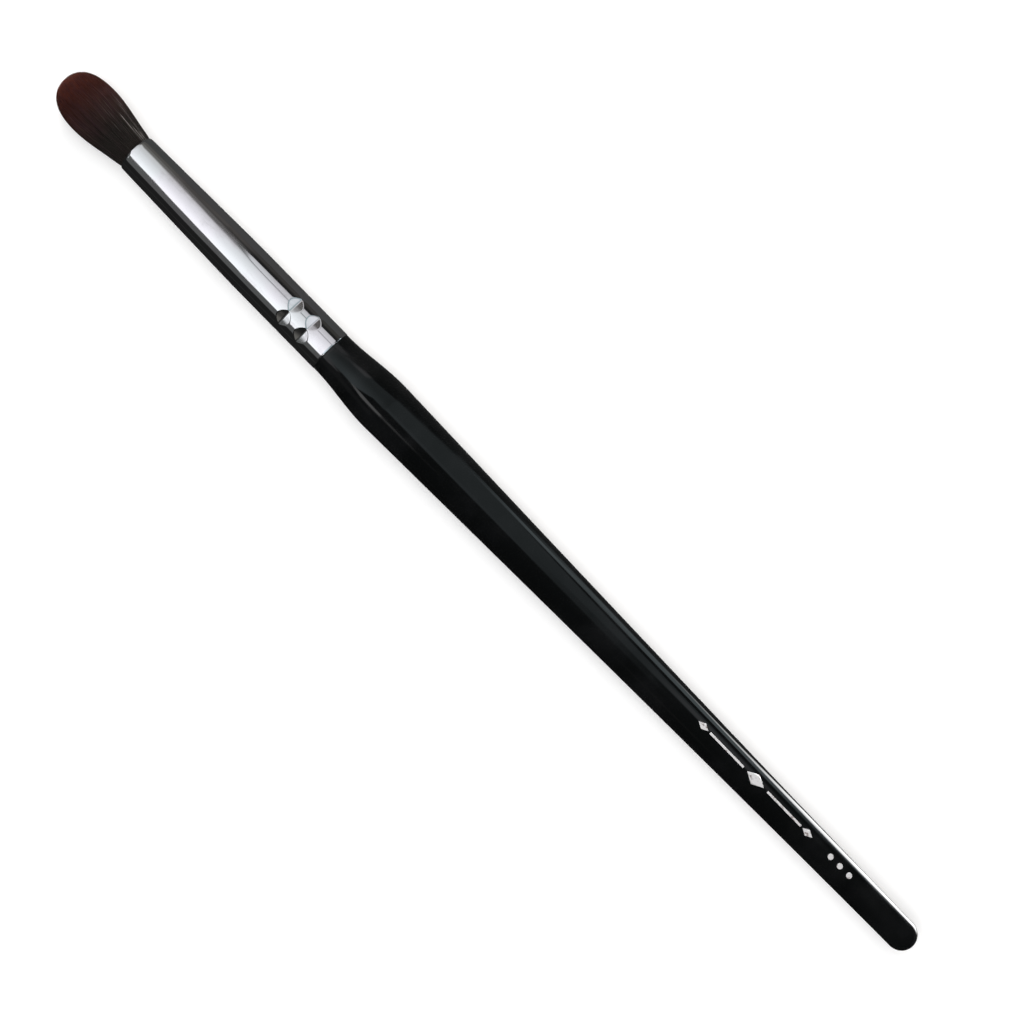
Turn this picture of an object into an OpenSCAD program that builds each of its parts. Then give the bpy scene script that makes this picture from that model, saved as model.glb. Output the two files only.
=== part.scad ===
// Eyeshadow blending brush: a dense round bristle head, a crimped metal ferrule and a turned handle.
// The long axis lies along X with the bristle tip at +X.
// The origin is under the middle of the brush, on the surface that its widest place rests on.

/* [Bristle head] */
// Length of the head, from the ferrule's mouth to the tip
head_len = 14.6; // [13:0.1:18]
// Diameter of the head at its widest place
head_d = 8.28; // [7.4:0.02:8.3]
// Length of the rounded crown, from the widest place to the tip
crown_len = 5.9; // [4.5:0.1:7]
// Fullness of the crown: 2 is an ellipse, and more is squarer
crown_power = 2.35; // [2:0.05:3]
// Length of a strand's pointed tip
point_len = 1.3; // [0.8:0.1:1.8]
// Number of strands
strand_count = 330; // [300:1:330]
// Reach of a strand's corners from its own centre, as a share of the room each strand has
strand_share = 0.7; // [0.5:0.01:0.75]

/* [Bundle root] */
// Length of the bundle that is hidden in the ferrule
root_len = 12; // [10:0.5:14]
// Distance from the ferrule's mouth to the middle of the thread binding
binding_depth = 5; // [4:0.1:5.6]
// Diameter of the binding thread
thread_d = 0.3; // [0.2:0.01:0.36]
// Turns of the binding thread
thread_turns = 4; // [3:1:5]
// How far the binding pinches the bundle in
pinch = 0.15; // [0.1:0.01:0.3]
// Clearance between the binding's groove and the adhesive's edge
soak_gap = 1.075; // [0.4:0.005:2]
// Thickness of the adhesive behind the end of the root
plug_len = 3; // [1:0.5:5]

/* [Ferrule] */
// Length of the ferrule
ferrule_len = 40.3; // [38:0.1:50]
// Outside diameter of its straight barrel
barrel_d = 6.88; // [6.8:0.02:7.6]
// Length of the straight barrel, measured from the handle's end
barrel_len = 17.2; // [16.5:0.1:18]
// Outside diameter of the cone where the rolled lip starts
mouth_d = 6.08; // [5.9:0.02:6.6]
// Thickness of the metal
wall = 0.3; // [0.2:0.01:0.4]
// Length of the rolled lip
lip_len = 1; // [0.6:0.1:2]
// How far the lip rolls in
lip_roll = 0.14; // [0.05:0.01:0.25]
// Rounding of the rim at the handle's end
rim_round = 0.12; // [0.04:0.01:0.18]

/* [Crimps] */
// Number of jaws that press each crimp
jaw_count = 8; // [6:1:10]
// Depth of a crimp at the middle of a jaw
crimp_depth = 0.3; // [0.15:0.01:0.4]
// Width of a crimp along the ferrule
crimp_width = 2.5; // [1.6:0.1:3]
// Distance from the handle's end of the ferrule to the nearer crimp
crimp_start = 4.3; // [3:0.1:6]
// Distance between the two crimps
crimp_pitch = 3.6; // [3.1:0.1:5]
// Turn of the ridges between the jaws about the long axis
ridge_turn = -3; // [-22:1:22]

/* [Handle] */
// Length of the handle outside the ferrule
handle_len = 120.2; // [90:0.1:150]
// Diameter where the handle leaves the ferrule
neck_d = 6.76; // [6.5:0.02:7.2]
// Diameter of the belly
belly_d = 8.34; // [8.3:0.02:10]
// Distance from the ferrule to the belly
belly_dist = 11; // [8:0.1:20]
// Diameter just before the round tail
tail_d = 4.7; // [3.6:0.02:6]
// Hollowness of the taper from belly to tail: 1 is a straight cone
taper_power = 1.25; // [1:0.05:1.6]
// Rounding of the shoulder that faces the ferrule
shoulder_round = 0.1; // [0.04:0.01:0.15]
// Length of the tenon inside the ferrule
tenon_len = 16; // [13:0.5:17]
// Chamfer at the end of the tenon
tenon_chamfer = 0.4; // [0.2:0.05:0.8]

/* [Fits] */
// Room for adhesive between the tenon and the ferrule
bond = 0.1; // [0.06:0.01:0.2]
// Clearance between pieces that seat on each other
seat_gap = 0.01; // [0.005:0.005:0.02]

/* [Hidden] */

$fn = 96;
// Overrun of a cut past the face that it leaves
cut_over = 1;
// Angle between the points of a rounded edge
arc_step = 15;
// Angle between the points of the round tail
tail_step = 7.5;
// Points along the swell behind the ferrule and along the taper to the tail
swell_steps = 14;
taper_steps = 40;
// Sides of the bundle's root, and of a strand
root_sides = 24;
strand_sides = 3;
// Turn from each strand to the next: the golden angle, which spreads them evenly over a disc
golden_angle = 180 * (3 - sqrt(5));
// Place of a strand's lower bend, as a share of the way from the mouth to the widest place
bend_share = 0.38;
// Distance between turns of the binding, as a share of the thread's diameter
turn_share = 0.9;
// Width of the slopes beside the binding, as a share of the thread's diameter
slope_share = 1.2;

head_r = head_d / 2;
barrel_r = barrel_d / 2;
mouth_r = mouth_d / 2;
neck_r = neck_d / 2;
belly_r = belly_d / 2;
tail_r = tail_d / 2;
tenon_r = barrel_r - wall - bond;

// Heights are measured along the axis from the ferrule's end at the handle, towards the tip.
tip_z = ferrule_len + head_len;
root_z = ferrule_len - root_len;
overall_len = handle_len + tip_z;
rest_h = max(belly_d, head_d) / 2;

// The rolled lip draws the bundle tight, so the root takes the width of the lip's inside.
throat_r = mouth_r - lip_roll - wall;
root_r = throat_r - seat_gap;
waist_r = root_r - pinch;
thread_pitch = thread_d * turn_share;
binding_len = thread_d + thread_pitch * (thread_turns - 1);
groove_half = binding_len / 2 + seat_gap;
groove_slope = thread_d * slope_share;

// Length of the root that the adhesive surrounds, up to its clearance from the binding's groove
soak_len = root_len - binding_depth - groove_half - groove_slope - soak_gap;

// Widest place of the head and lower bend of its strands, above the mouth, and the reach of a
// strand's corners as a share of the radius at which the outermost strand stands.
widest_h = head_len - crown_len;
bend_h = widest_h * bend_share;
corner_share = strand_share / sqrt(strand_count);

// Turns the upright brush down along X, centred over the origin.
module lay_down() {
    translate([overall_len / 2 - tip_z, 0, rest_h]) rotate([0, 90, 0]) children();
}

// Quarter of a rounded edge about the centre (x, z), from straight down to straight out.
function edge_arc(x, z, r) = [
    for (a = [0 : arc_step : 90]) [x + r * sin(a), z - r * cos(a)]
];

// Ferrule: one outline for its outside and, set in by the wall, for its bore.

function tube_outline(inset, over, rim) = concat(
    [[0, -over]],
    rim > 0 ? edge_arc(barrel_r - inset - rim, rim, rim) : [[barrel_r - inset, -over]],
    [[barrel_r - inset, barrel_len]],
    [for (a = [0 : arc_step : 90])
        [mouth_r - inset - lip_roll * (1 - cos(a)), ferrule_len - lip_len * (1 - sin(a))]],
    over > 0 ? [[mouth_r - inset - lip_roll, ferrule_len + over]] : [],
    [[0, ferrule_len + over]]
);

// One jaw's bite: a wide V across the tube whose deepest line runs floor_r from the axis.
module jaw_bite(floor_r) {
    reach = barrel_r + cut_over - floor_r;
    spread = reach * crimp_width / 2 / crimp_depth;
    rotate([90, 0, 0]) linear_extrude(height = barrel_d, center = true)
        polygon([[floor_r, 0], [floor_r + reach, -spread], [floor_r + reach, spread]]);
}

// The bites of both crimps, for a surface that lies inset below the ferrule's outside.
module crimp_bites(inset) {
    for (ring = [0, 1], jaw = [0 : jaw_count - 1])
        translate([0, 0, crimp_start + ring * crimp_pitch])
            rotate([0, 0, ridge_turn + (jaw + 1 / 2) * 360 / jaw_count])
                jaw_bite(barrel_r - inset - crimp_depth);
}

module crimped_tube(inset, over, rim) {
    difference() {
        rotate_extrude() polygon(tube_outline(inset, over, rim));
        crimp_bites(inset);
    }
}

module ferrule() {
    color([0.72, 0.71, 0.74]) lay_down() difference() {
        crimped_tube(0, 0, rim_round);
        crimped_tube(wall, cut_over, 0);
    }
}

// Handle: turned outline from the end of the tenon, over the belly, to the round tail.

swell_start = seat_gap + shoulder_round;

function swell_points() = [
    for (i = [1 : swell_steps])
        let (t = i / swell_steps)
        [neck_r + (belly_r - neck_r) * (1 - cos(180 * t)) / 2,
         -swell_start - (belly_dist - swell_start) * t]
];

function taper_points() = [
    for (i = [1 : taper_steps])
        let (t = i / taper_steps)
        [tail_r + (belly_r - tail_r) * pow(1 - t, taper_power),
         -belly_dist - (handle_len - tail_r - belly_dist) * t]
];

function tail_points() = [
    for (a = [tail_step : tail_step : 90])
        [tail_r * cos(a), -handle_len + tail_r - tail_r * sin(a)]
];

function handle_outline() = concat(
    [[0, tenon_len], [tenon_r - tenon_chamfer, tenon_len], [tenon_r, tenon_len - tenon_chamfer]],
    [[tenon_r, -seat_gap]],
    [for (a = [0 : arc_step : 90])
        [neck_r - shoulder_round * (1 - sin(a)), -seat_gap - shoulder_round * (1 - cos(a))]],
    swell_points(),
    taper_points(),
    tail_points()
);

// The crimps press the wood of the tenon too, so the same bites are taken from it.
module handle() {
    color([0.05, 0.06, 0.06]) lay_down() difference() {
        rotate_extrude() polygon(handle_outline());
        crimp_bites(wall + bond);
    }
}

// Adhesive sleeve: fills the room between the tenon and the bore, crimps included.

module crimped_rod(inset, start, end) {
    difference() {
        translate([0, 0, start]) cylinder(r = barrel_r - inset, h = end - start);
        crimp_bites(inset);
    }
}

module tenon_adhesive() {
    color([0.85, 0.76, 0.5]) lay_down() difference() {
        crimped_rod(wall + seat_gap, 0, tenon_len - tenon_chamfer);
        crimped_rod(wall + bond - seat_gap, -cut_over, tenon_len + cut_over);
    }
}

// Adhesive plug: a cup round and behind the root, against the cone's inside.

function cone_bore_r(z) = mouth_r - wall
    + (barrel_r - mouth_r) * (ferrule_len - lip_len - z) / (ferrule_len - lip_len - barrel_len);

module root_adhesive() {
    plug_z = root_z - plug_len;
    soak_z = root_z + soak_len;
    color([0.85, 0.76, 0.5]) lay_down() rotate_extrude() polygon([
        [0, plug_z],
        [cone_bore_r(plug_z) - seat_gap, plug_z],
        [cone_bore_r(soak_z) - seat_gap, soak_z],
        [root_r + seat_gap, soak_z],
        [root_r + seat_gap, root_z - seat_gap],
        [0, root_z - seat_gap]
    ]);
}

// Binding: turns of thread side by side round the bundle's waist.

module tuft_binding() {
    first_z = ferrule_len - binding_depth - thread_pitch * (thread_turns - 1) / 2;
    color([0.9, 0.88, 0.82]) lay_down() rotate_extrude()
        for (turn = [0 : thread_turns - 1])
            translate([waist_r + seat_gap + thread_d / 2, first_z + turn * thread_pitch])
                circle(d = thread_d);
}

// Bristle head, measured from the mouth's plane, where every strand starts from the root's end face.
// The strands stand on a golden-angle spiral that widens with height.
// Every strand keeps its share of the radius at every height, so no two can cross.

// Share of the head's radius at which strand i stands
function place_share(i) = sqrt((i + 1 / 2) / strand_count);

// Height of strand i's tip above the mouth, on the crown's rounded surface
function strand_tip(i) =
    widest_h + crown_len * pow(1 - pow(place_share(i), crown_power), 1 / crown_power);

// Radius of the circle that the outermost strand's centre keeps to, where the head's surface has radius r
function centre_r(r) = r / (1 + corner_share);

// Surface radius of the head's side at height h above the mouth
mouth_surface_r = root_r * cos(180 / root_sides);
function side_r(h) = mouth_surface_r + (head_r - mouth_surface_r) * sin(90 * h / widest_h);

// Corners of strand i at height h, where the outermost centre runs at radius r
function strand_ring(i, h, r) = [
    for (k = [0 : strand_sides - 1])
        let (turn = i * golden_angle, corner = turn + k * 360 / strand_sides)
        [r * (place_share(i) * cos(turn) + corner_share * cos(corner)),
         r * (place_share(i) * sin(turn) + corner_share * sin(corner)),
         h]
];

// Triangles of a strand whose rings are followed by its tip
function strand_faces(rings) = concat(
    [[for (k = [0 : strand_sides - 1]) k]],
    [for (j = [0 : rings - 2], k = [0 : strand_sides - 1], half = [0, 1])
        let (a = j * strand_sides + k, b = j * strand_sides + (k + 1) % strand_sides)
        half == 0 ? [a, a + strand_sides, b + strand_sides] : [a, b + strand_sides, b]],
    [for (k = [0 : strand_sides - 1])
        let (last = (rings - 1) * strand_sides)
        [last + k, last + strand_sides, last + (k + 1) % strand_sides]]
);

// A strand stands on the root's end face, bends out to full width and ends in a point.
module strand(i) {
    turn = i * golden_angle;
    tip_h = strand_tip(i);
    full_r = centre_r(head_r);
    rings = [
        [0, centre_r(mouth_surface_r)],
        [bend_h, centre_r(side_r(bend_h))],
        [widest_h - point_len, full_r],
        [tip_h - point_len, full_r]
    ];
    tip = [full_r * place_share(i) * cos(turn), full_r * place_share(i) * sin(turn), tip_h];
    polyhedron(
        points = concat([for (ring = rings) each strand_ring(i, ring[0], ring[1])], [tip]),
        faces = strand_faces(len(rings))
    );
}

// Hidden part of the bundle, below the mouth, with the groove that the binding sits in.
module bundle_root() {
    rotate_extrude($fn = root_sides) polygon([
        [0, -root_len],
        [root_r, -root_len],
        [root_r, -binding_depth - groove_half - groove_slope],
        [waist_r, -binding_depth - groove_half],
        [waist_r, -binding_depth + groove_half],
        [root_r, -binding_depth + groove_half + groove_slope],
        [root_r, 0],
        [0, 0]
    ]);
}

// Least distance between the centres of two strands, as a share of the outermost strand's radius
function least_centre_share() =
    let (places = [for (i = [0 : strand_count - 1])
        place_share(i) * [cos(i * golden_angle), sin(i * golden_angle)]])
    min([for (i = [0 : strand_count - 2], j = [i + 1 : strand_count - 1]) norm(places[i] - places[j])]);

// The strands and the root are one mesh, trued to the bundle's full length.
module bristle_tuft() {
    echo(least_gap_between_strands = centre_r(mouth_surface_r) * (least_centre_share() - 2 * corner_share));
    color([0.24, 0.13, 0.12]) lay_down() translate([0, 0, ferrule_len])
        resize([0, 0, root_len + head_len]) union() {
            bundle_root();
            for (i = [0 : strand_count - 1]) strand(i);
        }
}

bristle_tuft();
tuft_binding();
root_adhesive();
ferrule();
tenon_adhesive();
handle();
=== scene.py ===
"""Eyeshadow brush: bristle head, crimped ferrule and lacquered handle, dressed and lit.

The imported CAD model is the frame. X runs along the brush towards the bristle tip and Z is up.
The brush lies on the floor at Z = 0. Lengths are in metres, and MM turns millimetres into them.
A turn about the brush's axis is measured from straight up towards -Y, in radians.
"""

import logging
import math
from collections.abc import Mapping, Sequence
from dataclasses import dataclass, field
from enum import Enum
from typing import Any

import bpy
import numpy as np
from mathutils import Matrix, Vector


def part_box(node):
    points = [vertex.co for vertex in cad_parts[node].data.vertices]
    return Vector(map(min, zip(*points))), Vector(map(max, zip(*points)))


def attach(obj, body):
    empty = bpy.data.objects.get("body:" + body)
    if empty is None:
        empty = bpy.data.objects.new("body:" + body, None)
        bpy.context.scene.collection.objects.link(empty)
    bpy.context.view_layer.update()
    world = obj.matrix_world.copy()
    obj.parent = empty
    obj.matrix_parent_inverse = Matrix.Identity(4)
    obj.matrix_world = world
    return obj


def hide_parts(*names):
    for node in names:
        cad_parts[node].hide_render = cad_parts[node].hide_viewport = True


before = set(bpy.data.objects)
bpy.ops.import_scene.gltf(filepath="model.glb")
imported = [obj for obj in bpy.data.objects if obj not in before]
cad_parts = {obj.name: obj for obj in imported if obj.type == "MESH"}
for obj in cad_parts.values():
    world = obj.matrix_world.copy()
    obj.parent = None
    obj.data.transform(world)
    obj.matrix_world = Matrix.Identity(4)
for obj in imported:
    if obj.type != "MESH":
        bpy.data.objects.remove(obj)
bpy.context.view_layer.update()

LOG = logging.getLogger("eyeshadow_brush")
MM = 0.001
GOLDEN_TURN = math.pi * (3 - math.sqrt(5))
Colour = tuple[float, float, float]
Span = tuple[float, float]
AtStations = float | tuple[float, ...]


# Shader maths


class Wire:
    """A node's output that takes part in Python arithmetic."""

    def __init__(self, bench: "NodeBench", socket: bpy.types.NodeSocket) -> None:
        """Wraps one output.

        Args:
            bench: The bench that adds nodes to the output's tree.
            socket: The output.
        """
        self.bench = bench
        self.socket = socket

    def _maths(self, operation: str, *terms: "Wire | float") -> "Wire":
        """Adds one Math node.

        Args:
            operation: The Math node's operation.
            terms: Its inputs, in order.

        Returns:
            The node's output.
        """
        return self.bench.add("ShaderNodeMath", {"operation": operation}, dict(enumerate(terms)))

    def __add__(self, other: "Wire | float") -> "Wire":
        """Returns self + other."""
        return self._maths("ADD", self, other)

    __radd__ = __add__

    def __sub__(self, other: "Wire | float") -> "Wire":
        """Returns self - other."""
        return self._maths("SUBTRACT", self, other)

    def __rsub__(self, other: float) -> "Wire":
        """Returns other - self."""
        return self._maths("SUBTRACT", other, self)

    def __mul__(self, other: "Wire | float") -> "Wire":
        """Returns self * other."""
        return self._maths("MULTIPLY", self, other)

    __rmul__ = __mul__

    def ramp(self, low: float, high: float, start: float = 0.0, end: float = 1.0) -> "Wire":
        """Maps a range smoothly onto another, and holds it at both ends.

        Args:
            low: Value that becomes start.
            high: Value that becomes end.
            start: Result at low.
            end: Result at high.

        Returns:
            The mapped value.
        """
        ends = {"Value": self, "From Min": low, "From Max": high, "To Min": start, "To Max": end}
        return self.bench.add("ShaderNodeMapRange", {"interpolation_type": "SMOOTHSTEP"}, ends)


@dataclass(frozen=True)
class Grain:
    """Cloudy noise over a surface.

    It has scale cells in a metre and detail octaves, and rough is the strength of the finer ones.
    A small along draws the cells out along the brush. Where high is above low, the noise between
    them is mapped onto 0 to 1.
    """

    scale: float
    detail: float = 2.0
    rough: float = 0.5
    along: float = 1.0
    low: float = 0.0
    high: float = 0.0


class NodeBench:
    """Adds nodes to one node tree."""

    def __init__(self, tree: bpy.types.NodeTree) -> None:
        """Clears a tree and takes it over.

        Args:
            tree: The tree to fill.
        """
        self.tree = tree
        tree.nodes.clear()

    def add(
        self,
        kind: str,
        settings: Mapping[str, Any] | None = None,
        sockets: Mapping[str | int, Any] | None = None,
        output: str | int = 0,
    ) -> Wire:
        """Adds any node.

        Args:
            kind: Blender's type name for the node.
            settings: The node's properties, set first. stops holds a colour ramp's stops.
            sockets: Values or wires for its inputs, by name or place.
            output: Name or place of the output to return.

        Returns:
            One of the node's outputs, or for a node without outputs the first input.
        """
        node = self.tree.nodes.new(kind)
        for name, value in (settings or {}).items():
            if name == "stops":
                self._set_stops(node.color_ramp, value)
            else:
                setattr(node, name, value)
        for key, value in (sockets or {}).items():
            if isinstance(value, Wire):
                self.tree.links.new(value.socket, node.inputs[key])
            else:
                node.inputs[key].default_value = value
        return Wire(self, node.outputs[output] if len(node.outputs) else node.inputs[0])

    @staticmethod
    def _set_stops(ramp: bpy.types.ColorRamp, stops: Sequence[tuple[float, Colour]]) -> None:
        """Gives a colour ramp its stops.

        Args:
            ramp: The ramp to fill.
            stops: Place and colour of each stop, in order.
        """
        while len(ramp.elements) < len(stops):
            ramp.elements.new(1.0)
        for element, (place, colour) in zip(ramp.elements, stops):
            element.position = place
            element.color = (*colour, 1.0)

    def blend(self, share: Wire | float, first: Wire | Colour, second: Wire | Colour) -> Wire:
        """Mixes two colours.

        Args:
            share: How much of the second colour shows.
            first: Colour at share 0.
            second: Colour at share 1.

        Returns:
            The mixed colour.
        """
        ends = [c if isinstance(c, Wire) else (*c, 1.0) for c in (first, second)]
        sockets = {0: share, 6: ends[0], 7: ends[1]}
        return self.add("ShaderNodeMix", {"data_type": "RGBA"}, sockets, output=2)

    def place(self, scale: Sequence[float] = (1.0, 1.0, 1.0)) -> Wire:
        """Gives the surface's own coordinates, stretched.

        Args:
            scale: Factor along each axis. A small factor stretches a pattern along that axis.

        Returns:
            The coordinates, in metres times scale.
        """
        own = self.add("ShaderNodeTexCoord", output="Object")
        return self.add("ShaderNodeVectorMath", {"operation": "MULTIPLY"}, {0: own, 1: scale})

    def grain(self, grain: Grain, place: Wire | None = None) -> Wire:
        """Adds a grain over the surface.

        Args:
            grain: The grain.
            place: Its coordinates, where they aren't the surface's own.

        Returns:
            Its value, which is about 0.5 unless the grain has its own range.
        """
        sockets = {
            "Vector": place or self.place((grain.along, 1, 1)),
            "Scale": grain.scale,
            "Detail": grain.detail,
            "Roughness": grain.rough,
        }
        value = self.add("ShaderNodeTexNoise", sockets=sockets)
        return value.ramp(grain.low, grain.high) if grain.high > grain.low else value

    def attribute(self, name: str) -> Wire:
        """Returns a mesh attribute's value."""
        return self.add("ShaderNodeAttribute", {"attribute_name": name}, output="Fac")

    def seen(self) -> Wire:
        """Returns 1 for the rays that show a background: camera, glossy and transmission rays."""
        names = ("Is Camera Ray", "Is Glossy Ray", "Is Transmission Ray")
        camera, gloss, passing = (self.add("ShaderNodeLightPath", output=n) for n in names)
        return (camera + gloss + passing).ramp(0, 1)

    def bump(self, height: Wire, distance: float, strength: float = 1.0) -> Wire:
        """Turns a height into a normal.

        Args:
            height: Height, where 1 is distance.
            distance: Metres that a height of 1 stands for.
            strength: How much of the bump shows.

        Returns:
            The normal.
        """
        sockets = {"Height": height, "Distance": distance, "Strength": strength}
        return self.add("ShaderNodeBump", sockets=sockets)


# Finishes


@dataclass(frozen=True)
class Finish:
    """A named surface finish that becomes one material."""

    name: str

    def material(self) -> bpy.types.Material:
        """Returns this finish's material, made on its first use."""
        made = bpy.data.materials.get(self.name)
        if made is None:
            made = bpy.data.materials.new(self.name)
            made.use_nodes = True
            bench = NodeBench(made.node_tree)
            bench.add("ShaderNodeOutputMaterial", sockets={"Surface": self.shader(bench)})
        return made

    def shader(self, bench: NodeBench) -> Wire:
        """Adds the surface's Principled shader, with this finish's sockets.

        Args:
            bench: The bench of the material's tree.

        Returns:
            The shader.
        """
        return bench.add("ShaderNodeBsdfPrincipled", sockets=self.sockets(bench))

    def sockets(self, bench: NodeBench) -> dict[str, Any]:
        """Works out the Principled shader's sockets.

        Args:
            bench: The bench of the material's tree.

        Returns:
            Values and wires by socket name.
        """
        raise NotImplementedError


@dataclass(frozen=True)
class BristleFinish(Finish):
    """Fine synthetic filament, near black in the ferrule and burgundy brown at the tips.

    Each strand's colour depends on its tone and on rise, its height in the head, alone. So many
    strands share one column of the bake map. The plum cast grows and the contrast between strands
    falls, to calm_share, towards the dome. Where a strand's glint attribute is set, its colour is
    blended towards a light colour: a painted highlight.
    """

    heights: tuple[float, ...] = (0.0, 0.25, 0.5, 0.74, 0.87, 0.97)
    root: Colour = (0.0140, 0.0124, 0.0104)
    waist: Colour = (0.0270, 0.0130, 0.0110)
    # Partly the filaments' own colour, partly painted light: shoulder, dome and tip are brightened
    # to make up for the shade on the crown, which faces away from the key light.
    shoulder: Colour = (0.0500, 0.0130, 0.0080)
    dome: Colour = (0.1100, 0.0270, 0.0165)
    tip: Colour = (0.2600, 0.0700, 0.0420)
    plum: Colour = (0.0420, 0.0190, 0.0260)
    painted_glints: Colour = (0.86, 0.79, 0.75)
    # Painted shade: below 1 this darkens the whole colour, as for the core deep in the head.
    shade_dimming: float = 1.0
    flecks: Grain = Grain(1.0, 3, 0.6)
    fleck_cells: Span = (70, 8)
    fleck_contrast: float = 2.7
    cast: Grain = Grain(1.0, 2, 0.5, low=0.46, high=0.66)
    cast_cells: Span = (11, 3)
    cast_layer: float = 4.0
    cast_rise: Span = (0.2, 0.55)
    cast_share: Span = (0.3, 0.75)
    tone_contrast: float = 0.7
    calm_rise: Span = (0.35, 0.75)
    calm_share: float = 0.28
    rough: float = 0.62
    tone_gloss: float = 0.16
    specular: float = 0.2

    def sockets(self, bench: NodeBench) -> dict[str, Any]:
        """Works out the sockets from each strand's tone, height and painted glint.

        Args:
            bench: The bench of the material's tree.

        Returns:
            Values and wires by socket name.
        """
        colours = (self.root, self.root, self.waist, self.shoulder, self.dome, self.tip)
        rise, tone = bench.attribute("rise"), bench.attribute("tone")
        stops = list(zip(self.heights, colours))
        along = bench.add("ShaderNodeValToRGB", {"stops": stops}, {"Fac": rise})
        place = self._spread(bench, tone, rise, self.fleck_cells, 0.0)
        flecks = bench.grain(self.flecks, place)
        patch = self._spread(bench, tone, rise, self.cast_cells, self.cast_layer)
        cast = bench.grain(self.cast, patch) * rise.ramp(*self.cast_rise, *self.cast_share)
        contrast = rise.ramp(*self.calm_rise, 1.0, self.calm_share)
        varied = (tone - 0.5) * self.tone_contrast + (flecks - 0.5) * self.fleck_contrast
        shade = self.shade_dimming * (1 + contrast * varied)
        tinted = bench.blend(cast, along, self.plum)
        scaled = {0: tinted, "Scale": shade}
        toned = bench.add("ShaderNodeVectorMath", {"operation": "SCALE"}, scaled)
        return {
            # Painted highlight: the glint attribute blends chosen strands towards a light colour.
            "Base Color": bench.blend(bench.attribute("glint"), toned, self.painted_glints),
            "Roughness": self.rough - self.tone_gloss * tone,
            "Specular IOR Level": self.specular,
        }

    @staticmethod
    def _spread(bench: NodeBench, tone: Wire, rise: Wire, cells: Span, layer: float) -> Wire:
        """Gives places for noise that changes with a strand's tone and height alone.

        Args:
            bench: The bench of the material's tree.
            tone: The strand's tone.
            rise: Height in the head.
            cells: Cells across the tones and up the head.
            layer: Which slice of the noise to take.

        Returns:
            The places.
        """
        sockets = {0: tone * cells[0], 1: rise * cells[1], 2: layer}
        return bench.add("ShaderNodeCombineXYZ", sockets=sockets)


@dataclass(frozen=True)
class PlateFinish(Finish):
    """Bright nickel plate with faint drawing marks along the tube and handling smudges.

    The waves and the drawing marks raise the surface by their shares of relief.
    """

    metal: Colour = (0.80, 0.79, 0.82)
    cool: Colour = (0.765, 0.795, 0.80)
    smudge: Colour = (0.70, 0.69, 0.71)
    drawn: Grain = Grain(5200, 3, 0.6, 0.03)
    smudged: Grain = Grain(420, 4, 0.62, 0.5, 0.48, 0.72)
    waved: Grain = Grain(330, 2, 0.45, 0.22)
    drifting: Grain = Grain(150, 2, 0.5, 0.6, 0.42, 0.6)
    relief: float = 0.004 * MM
    wave_share: float = 9.0
    drawn_share: float = 0.12
    rough: float = 0.045
    smudge_rough: float = 0.05
    drawn_rough: float = 0.04

    def sockets(self, bench: NodeBench) -> dict[str, Any]:
        """Works out the sockets from drawing marks, smudges, slight waves and a painted reflection
        tint.

        Args:
            bench: The bench of the material's tree.

        Returns:
            Values and wires by socket name.
        """
        drawn, smudges, waves, drift = (
            bench.grain(g) for g in (self.drawn, self.smudged, self.waved, self.drifting)
        )
        # Painted reflection: the drifting blend between metal and cool stands in for the lavender
        # and bluish cast of reflections.
        clean = bench.blend(drift, self.metal, self.cool)
        height = waves * self.wave_share + drawn * self.drawn_share
        return {
            "Base Color": bench.blend(smudges, clean, self.smudge),
            "Metallic": 1.0,
            "Roughness": self.rough + self.smudge_rough * smudges + self.drawn_rough * drawn,
            "Normal": bench.bump(height, self.relief),
        }


@dataclass(frozen=True)
class LacquerFinish(Finish):
    """Black gloss lacquer over turned wood, with a faint peel and fine handling haze.

    The peel and the slower sag raise the surface by their shares of relief.
    """

    body: Colour = (0.0026, 0.0030, 0.0031)
    haze: Colour = (0.0052, 0.0056, 0.0060)
    peel: Grain = Grain(900, 2, 0.5, 0.5)
    sag: Grain = Grain(160, 1, 0.4, 0.15)
    rubbed: Grain = Grain(1500, 3, 0.6, 0.08, 0.5, 0.78)
    clouded: Grain = Grain(110, 3, 0.6, 1.0, 0.42, 0.7)
    relief: float = 0.0035 * MM
    peel_share: float = 0.5
    sag_share: float = 5.0
    rough: float = 0.07
    cloud_rough: float = 0.06
    rubbed_rough: float = 0.07
    specular: float = 0.34

    def sockets(self, bench: NodeBench) -> dict[str, Any]:
        """Works out the sockets from the lacquer's peel, haze and rubbed streaks.

        Args:
            bench: The bench of the material's tree.

        Returns:
            Values and wires by socket name.
        """
        peel, sag, rubbed, cloud = (
            bench.grain(g) for g in (self.peel, self.sag, self.rubbed, self.clouded)
        )
        height = peel * self.peel_share + sag * self.sag_share
        return {
            "Base Color": bench.blend(cloud, self.body, self.haze),
            "Roughness": self.rough + self.cloud_rough * cloud + self.rubbed_rough * rubbed,
            "Specular IOR Level": self.specular,
            "Normal": bench.bump(height, self.relief),
        }


@dataclass(frozen=True)
class FoilFinish(Finish):
    """Silver foil stamped on the lacquer, worn thin in places."""

    silver: Colour = (0.86, 0.84, 0.84)
    worn: Colour = (0.30, 0.25, 0.24)
    wear: Grain = Grain(1700, 3, 0.65, 0.7, 0.52, 0.68)
    crackle: Grain = Grain(9000)
    relief: float = 0.006 * MM
    metallic: float = 0.55
    rough: float = 0.42
    wear_rough: float = 0.2

    def sockets(self, bench: NodeBench) -> dict[str, Any]:
        """Works out the sockets from the foil's worn flecks and fine crackle.

        Args:
            bench: The bench of the material's tree.

        Returns:
            Values and wires by socket name.
        """
        wear, crackle = bench.grain(self.wear), bench.grain(self.crackle)
        return {
            "Base Color": bench.blend(wear, self.silver, self.worn),
            "Metallic": self.metallic,
            "Roughness": self.rough + self.wear_rough * wear,
            "Normal": bench.bump(crackle, self.relief),
        }


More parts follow.
